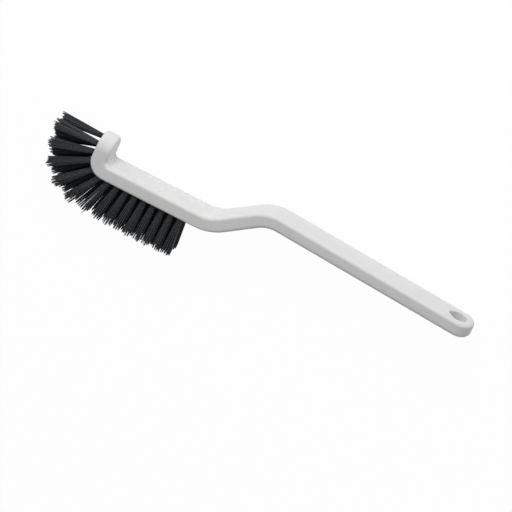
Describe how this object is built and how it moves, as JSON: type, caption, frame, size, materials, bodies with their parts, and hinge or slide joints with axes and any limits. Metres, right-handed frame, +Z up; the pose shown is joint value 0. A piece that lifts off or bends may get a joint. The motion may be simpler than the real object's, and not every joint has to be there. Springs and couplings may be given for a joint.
{
  "type": "grass brush",
  "caption": "Hand brush with a cranked white handle, a turned-up toe, three rows of stiff black bristle tufts and a teardrop hang hole.",
  "frame": {"origin": "on the surface that the brush lies on, under the middle of the whole brush's box", "axes": "+X along the brush from the toe to the end of the handle, +Y from the bristles' side to the back of the brush, +Z up, across the width of the strip; the brush lies on the flat side of its head"},
  "size_m": [0.301, 0.0626, 0.0195],
  "materials": {
    "white_polypropylene": "satin",
    "black_nylon_bristle": "satin"
  },
  "bodies": {
    "root": {"handle_body": "white_polypropylene", "tuft_upper_01": "black_nylon_bristle", "tuft_upper_02": "black_nylon_bristle", "tuft_upper_03": "black_nylon_bristle", "tuft_upper_04": "black_nylon_bristle", "tuft_upper_05": "black_nylon_bristle", "tuft_upper_06": "black_nylon_bristle", "tuft_upper_07": "black_nylon_bristle", "tuft_upper_08": "black_nylon_bristle", "tuft_upper_09": "black_nylon_bristle", "tuft_upper_10": "black_nylon_bristle", "tuft_upper_11": "black_nylon_bristle", "tuft_upper_12": "black_nylon_bristle", "tuft_upper_13": "black_nylon_bristle", "tuft_upper_14": "black_nylon_bristle", "tuft_middle_01": "black_nylon_bristle", "tuft_middle_02": "black_nylon_bristle", "tuft_middle_03": "black_nylon_bristle", "tuft_middle_04": "black_nylon_bristle", "tuft_middle_05": "black_nylon_bristle", "tuft_middle_06": "black_nylon_bristle", "tuft_middle_07": "black_nylon_bristle", "tuft_middle_08": "black_nylon_bristle", "tuft_middle_09": "black_nylon_bristle", "tuft_middle_10": "black_nylon_bristle", "tuft_middle_11": "black_nylon_bristle", "tuft_middle_12": "black_nylon_bristle", "tuft_middle_13": "black_nylon_bristle", "tuft_lower_01": "black_nylon_bristle", "tuft_lower_02": "black_nylon_bristle", "tuft_lower_03": "black_nylon_bristle", "tuft_lower_04": "black_nylon_bristle", "tuft_lower_05": "black_nylon_bristle", "tuft_lower_06": "black_nylon_bristle", "tuft_lower_07": "black_nylon_bristle", "tuft_lower_08": "black_nylon_bristle", "tuft_lower_09": "black_nylon_bristle", "tuft_lower_10": "black_nylon_bristle", "tuft_lower_11": "black_nylon_bristle", "tuft_lower_12": "black_nylon_bristle", "tuft_lower_13": "black_nylon_bristle", "tuft_lower_14": "black_nylon_bristle"}
  },
  "joints": []
}
